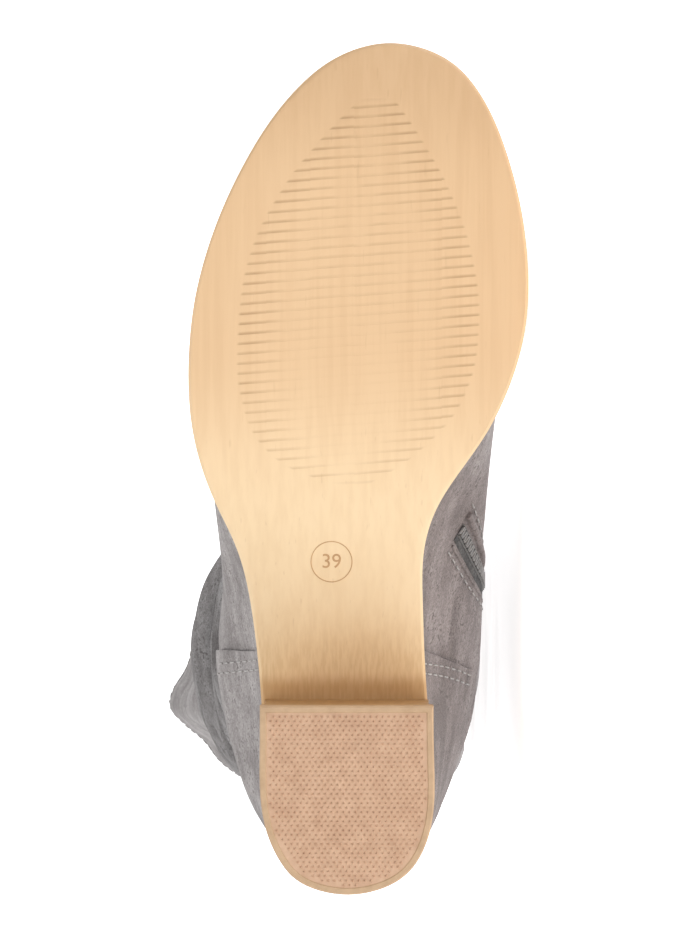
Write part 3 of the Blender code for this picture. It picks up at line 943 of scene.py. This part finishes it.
def ontoSole(point):
    # The underside of the ring and the digits stands proud of the sole, and the rest is sunk in it
    proud = stampValues["proud"] if point.y < treadLevel else -stampValues["sunk"]
    hit = outsoleTree.ray_cast(Vector((point.x, treadLevel - farOut, point.z)), Vector((0, 1, 0)))[0]
    return Vector((point.x, hit.y - proud, point.z)) if hit else point


def makeStamp():
    middle = at(stampValues["along"], 0, stampValues["side"])
    deselectAll()
    bpy.ops.mesh.primitive_torus_add(
        location=middle, rotation=(math.radians(90), 0, 0), major_radius=stampValues["radius"],
        minor_radius=stampValues["line"], major_segments=72, minor_segments=6,
    )
    ring = bpy.context.object
    bpy.ops.object.transform_apply(location=True, rotation=True, scale=True)
    deselectAll()
    bpy.ops.object.text_add(location=middle)
    digits = bpy.context.object
    digits.data.body = stampValues["text"]
    digits.data.size = stampValues["textSize"]
    digits.data.align_x = "CENTER"
    digits.data.align_y = "CENTER"
    digits.data.extrude = stampValues["textDeep"]
    digits.rotation_euler = toeAtTop.to_euler()
    bpy.ops.object.convert(target="MESH")
    bpy.ops.object.transform_apply(location=True, rotation=True, scale=True)
    for piece, name in ((ring, "sizeRing"), (digits, "sizeDigits")):
        piece.name = name
        moveEach(piece, ontoSole)
        keep(piece, (), stampFinish)


makeStamp()
print("stamp ready")


# Heel block and its top piece

heelValues = {
    "levels": 3, "topLevels": 2, "rim": 0.0013, "recess": 0.0004, "recessEdge": 0.0003, "rowPitch": 0.00135,
    "studPitch": 0.0018, "stud": 0.00078, "studTop": 0.25, "studSunk": 0.0002, "studFoot": 0.0007,
    "slack": 0.00015,
}


def makeHeel():
    block = copyOfNode("heel_block", "stackedHeel")
    creaseSharp(block, 40)
    subdivide(block, heelValues["levels"])
    keep(block, ("heel_block",), stackFinish)
    shade(block, 40)


def makeTopPiece():
    piece = copyOfNode("heel_top_piece", "topPiece")
    creaseSharp(piece, 30)
    subdivide(piece, heelValues["topLevels"])
    emptySelection(piece, "FACE")
    for face in piece.data.polygons:
        face.select = face.normal.y < -0.97 and face.center.y < treadLevel + 0.0001
    bpy.ops.object.mode_set(mode="EDIT")
    bpy.ops.mesh.dissolve_faces()
    bpy.ops.mesh.inset(thickness=heelValues["rim"], depth=0)
    bpy.ops.mesh.inset(thickness=heelValues["recessEdge"], depth=-heelValues["recess"])
    bpy.ops.object.mode_set(mode="OBJECT")
    keep(piece, ("heel_top_piece",), rimFinish)
    piece.data.materials.append(treadFinish)
    for face in piece.data.polygons:
        face.material_index = 1 if face.select else 0
    shade(piece, 35)
    return piece


def inRecess(tree, x, z):
    # True where all four corners around a stud are over the recess
    deepEnough = treadLevel + heelValues["recess"] - heelValues["slack"]
    for dx in (-heelValues["studFoot"], heelValues["studFoot"]):
        for dz in (-heelValues["studFoot"], heelValues["studFoot"]):
            hit = tree.ray_cast(Vector((x + dx, treadLevel - farOut, z + dz)), Vector((0, 1, 0)))[0]
            if not hit or hit.y <= deepEnough:
                return False
    return True


def makeTread(topPiece):
    # Rows of three-sided studs that fill the recess
    low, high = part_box("heel_top_piece")
    tree = treeOf(topPiece)
    deselectAll()
    bpy.ops.mesh.primitive_cone_add(
        vertices=3, radius1=heelValues["stud"], radius2=heelValues["stud"] * heelValues["studTop"],
        depth=heelValues["recess"] + heelValues["studSunk"], end_fill_type="NOTHING", location=(0, 0, 0),
        rotation=(math.radians(90), 0, 0),
    )
    studs = bpy.context.object
    studs.name = "treadStuds"
    bpy.ops.object.transform_apply(location=True, rotation=True, scale=True)
    rowCount = int((high.x - low.x) / heelValues["rowPitch"]) + 1
    studCount = int((high.z - low.z) / heelValues["studPitch"]) + 1
    y = treadLevel + heelValues["recess"] * 0.5
    places = []
    for i in range(rowCount):
        for k in range(studCount):
            x = low.x + (i + 0.5) * heelValues["rowPitch"]
            z = low.z + (k + 0.5 * (i % 2) + 0.25) * heelValues["studPitch"]
            if inRecess(tree, x, z):
                places.append((Vector((x, y, z)), Vector((1, 0, 0)), Vector((0, 1, 0)), Vector((0, 0, 1))))
    repeatShape(studs, places)
    keep(studs, (), treadFinish)
    return studs


makeHeel()
treadStuds = makeTread(makeTopPiece())
print("heel ready", len(treadStuds.data.polygons))


# Insole keeps its own shape, with a cloth finish

insole = frame["nodes"]["insole"]
insole.data.materials.clear()
insole.data.materials.append(liningFinish)


# Stitches and seams on the upper

legSide = 0.055      # about the middle of the leg, from side to side
threadProud = 0.0002

# Sizes of the stitches on each part of the boot
stitchSizes = {
    "leg": {"gap": 0.0034, "length": 0.0023, "thick": 0.0005},
    "counter": {"gap": 0.0054, "length": 0.0031, "thick": 0.0006},
    "zip": {"gap": 0.0052, "length": 0.0030, "thick": 0.0006},
}

# Section of a raised band, in shares of its width and of its height, with None where it is sunk
weltSection = ((-0.5, None), (-0.42, 0.7), (-0.15, 1.0), (0.15, 1.0), (0.42, 0.7), (0.5, None))
weltSunk = 0.0004


def legPoint(up, turn, proud):
    # A point on the leg's outer face, and the way out there
    middle = rows(legMiddle, up)
    angle = math.radians(turn)
    out = Vector((-math.sin(angle), 0, math.cos(angle)))
    hit, normal = upperTree.ray_cast(at(middle[0], up, middle[1]) + out * farOut, -out)[:2]
    return (hit + normal * proud, normal) if hit else None


def sidePoint(tree, along, up, towards, proud):
    # A point on the foot, seen from the outer side (towards -1) or the inner side (towards 1)
    hit, normal = tree.ray_cast(at(along, up, legSide - towards * farOut), Vector((0, 0, towards)))[:2]
    return (hit + normal * proud, normal) if hit else None


def evenly(route, gap):
    # The route again at even steps
    out = [route[0]]
    left = gap
    for (a, normalA), (b, normalB) in zip(route, route[1:]):
        length = (b - a).length
        spent = 0.0
        while length - spent >= left:
            spent += left
            t = spent / length
            out.append((a.lerp(b, t), normalA.lerp(normalB, t).normalized()))
            left = gap
        left -= length - spent
    return out


def evened(route):
    # The route again without the small bumps of the skin under it, from the same start to the same end
    reach = 4
    out = []
    for k, (place, normal) in enumerate(route):
        near = route[max(0, k - reach):k + reach + 1]
        normal = sum((n for p, n in near), Vector()).normalized()
        if 0 < k < len(route) - 1:
            place = sum((p for p, n in near), Vector()) / len(near)
        out.append((place, normal))
    return out


def makeStitches(name, routes, size):
    deselectAll()
    bpy.ops.mesh.primitive_cylinder_add(
        vertices=6, radius=size["thick"] * 0.5, depth=size["length"], location=(0, 0, 0),
    )
    stitches = bpy.context.object
    stitches.name = name
    bpy.ops.object.mode_set(mode="EDIT")
    bpy.ops.mesh.select_all(action="SELECT")
    bpy.ops.mesh.bevel(offset=size["thick"] * 0.2, segments=1)
    bpy.ops.object.mode_set(mode="OBJECT")
    places = []
    for route in routes:
        line = evenly(route, size["gap"])
        for (place, normal), (nextPlace, _) in zip(line, line[1:]):
            run = (nextPlace - place).normalized()
            places.append((place, run.cross(normal).normalized(), normal, run))
    repeatShape(stitches, places)
    keep(stitches, (), threadFinish)
    shade(stitches, 60)


def makeWelt(name, route, width, height, finish):
    # A low raised band along a route
    deselectAll()
    bpy.ops.mesh.primitive_plane_add(size=0.01)
    band = bpy.context.object
    band.name = name
    points, faces = [], []
    for k, (place, normal) in enumerate(route):
        run = (route[min(k + 1, len(route) - 1)][0] - route[max(k - 1, 0)][0]).normalized()
        across = run.cross(normal).normalized()
        for share, heightShare in weltSection:
            rise = -weltSunk if heightShare is None else height * heightShare
            points.append(place + across * share * width + normal * rise)
    count = len(weltSection)
    for k in range(len(route) - 1):
        for i in range(count - 1):
            a = k * count + i
            faces.append((a, a + count, a + count + 1, a + 1))
        faces.append((k * count + count - 1, (k + 1) * count + count - 1, (k + 1) * count, k * count))
    faces.append(tuple(range(count)))
    faces.append(tuple(reversed(range((len(route) - 1) * count, len(route) * count))))
    fill(band, points, faces)
    pick(band)
    bpy.ops.object.mode_set(mode="EDIT")
    bpy.ops.mesh.select_all(action="SELECT")
    bpy.ops.mesh.normals_make_consistent(inside=False)
    bpy.ops.object.mode_set(mode="OBJECT")
    shadeFolds(band)
    keep(band, (), finish)
    shade(band, 60)
    return band


seamValues = {
    "width": 0.0024, "height": 0.0005, "backFrom": 0.135, "frontFrom": 0.20, "end": 0.616, "backTurn": 90,
    "steps": 90, "stitchTurn": 3.4, "stitchSteps": 160, "collar": 0.62, "hemDrop": 0.016, "rowGap": 0.0032,
    "hemTurn": 3,
}


def legRoute(start, turn, steps, proud=0.0):
    # Up the leg from a start to just under the collar
    spots = [legPoint(start + (seamValues["end"] - start) * k / steps, turn, proud) for k in range(steps + 1)]
    return [spot for spot in spots if spot]


def makeSeams():
    back = seamValues["backTurn"]
    for name, start, turn in (
        ("backSeam", seamValues["backFrom"], back), ("frontSeam", seamValues["frontFrom"], -back),
    ):
        route = legRoute(start, turn, seamValues["steps"])
        makeWelt(name, route, seamValues["width"], seamValues["height"], suedeFinish)
    routes = []
    for shift in (-seamValues["stitchTurn"], seamValues["stitchTurn"]):
        routes.append(legRoute(seamValues["backFrom"], back + shift, seamValues["stitchSteps"], threadProud))
    makeStitches("backSeamStitches", routes, stitchSizes["leg"])
    hem = []
    for drop in (seamValues["hemDrop"], seamValues["hemDrop"] + seamValues["rowGap"]):
        turns = range(-178, 182, seamValues["hemTurn"])
        ring = [legPoint(seamValues["collar"] - drop, turn, threadProud) for turn in turns]
        hem.append([spot for spot in ring if spot])
    makeStitches("hemStitches", hem, stitchSizes["leg"])


# Front edge of the counter on the outer side (-1) and on the inner side (1): up, along
counterEdges = {
    -1: ((0.045, 0.0713), (0.112, 0.0657)),
    1: ((0.045, 0.0700), (0.070, 0.0675), (0.100, 0.0625), (0.110, 0.061)),
}


def makeCounterStitches():
    tree = treeOf(counterPanel)
    start, height, steps = (counterValues[key] for key in ("stitchFrom", "stitchHeight", "stitchSteps"))
    ups = [start + height * k / steps for k in range(steps + 1)]
    routes = []
    for towards, edge in counterEdges.items():
        for back in counterValues["stitchRows"]:
            spots = [sidePoint(tree, rows(edge, up)[0] - back, up, towards, threadProud) for up in ups]
            routes.append([spot for spot in spots if spot])
    makeStitches("counterStitches", routes, stitchSizes["counter"])


makeSeams()
makeCounterStitches()
print("seams ready")


# Zip on the inner side

zipValues = {
    "steps": 170, "tape": 0.0064, "tapeHeight": 0.0004, "toothPitch": 0.00165, "tooth": 0.0027,
    "toothThick": 0.00042, "toothProud": 0.0009, "slant": 0.22, "coilShift": 0.0010,
    "cord": 0.0005, "cordHeight": 0.0005, "cordProud": 0.0004, "cordShift": 0.62,
    "lip": 0.0026, "lipHeight": 0.0012, "lipShift": 0.0056, "edge": 0.0009, "edgeHeight": 0.0004,
    "edgeShift": -0.0042, "lipProud": 0.0001, "stitchShifts": (0.0084, -0.0066), "stitchProud": 0.0003,
}

# Line of the zip: up, along
zipLine = (
    (0.0560, 0.1071), (0.0600, 0.1052), (0.0646, 0.1027), (0.0717, 0.0990), (0.0790, 0.0954),
    (0.0892, 0.0916), (0.1040, 0.0880), (0.1300, 0.0860), (0.1800, 0.0860), (0.2150, 0.0880),
    (0.2560, 0.0930), (0.3000, 0.1000), (0.3500, 0.1020),
)


def zipRoute(shift=0.0, proud=0.0):
    # Beside the zip's line, a shift towards the toe
    start, end = zipLine[0][0], zipLine[-1][0]
    found = []
    for k in range(zipValues["steps"] + 1):
        up = start + (end - start) * k / zipValues["steps"]
        spot = sidePoint(upperTree, rows(zipLine, up)[0] + shift, up, 1, proud)
        if spot:
            found.append(spot)
    return evened(found)


def makeCoil():
    proud = zipValues["toothProud"]
    raised = [(place + normal * proud, normal) for place, normal in zipRoute(zipValues["coilShift"])]
    line = evenly(raised, zipValues["toothPitch"])
    deselectAll()
    bpy.ops.mesh.primitive_cylinder_add(
        vertices=6, radius=zipValues["toothThick"], depth=zipValues["tooth"], location=(0, 0, 0),
    )
    coil = bpy.context.object
    coil.name = "zipCoil"
    places = []
    for k, (place, normal) in enumerate(line[:-1]):
        run = (line[k + 1][0] - place).normalized()
        slant = run * zipValues["slant"] * (1 if k % 2 else -1)   # every other turn of the coil leans back
        places.append((place, run, normal, run.cross(normal).normalized() + slant))
    repeatShape(coil, places)
    keep(coil, (), coilFinish)
    shade(coil, 50)


def makeZip():
    tape = makeWelt("zipTape", zipRoute(), zipValues["tape"], zipValues["tapeHeight"], tapeFinish)
    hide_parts("zip")
    makeCoil()
    for name, side in (("zipCordFront", 1), ("zipCordBack", -1)):
        shift = zipValues["coilShift"] + side * zipValues["tooth"] * zipValues["cordShift"]
        route = zipRoute(shift, zipValues["cordProud"])
        makeWelt(name, route, zipValues["cord"], zipValues["cordHeight"], cordFinish)
    for name, part in (("zipLipFront", "lip"), ("zipEdgeBack", "edge")):
        route = zipRoute(zipValues[part + "Shift"], zipValues["lipProud"])
        makeWelt(name, route, zipValues[part], zipValues[part + "Height"], suedeFinish)
    routes = [zipRoute(shift, zipValues["stitchProud"]) for shift in zipValues["stitchShifts"]]
    makeStitches("zipStitches", routes, stitchSizes["zip"])


makeZip()
print("zip ready")
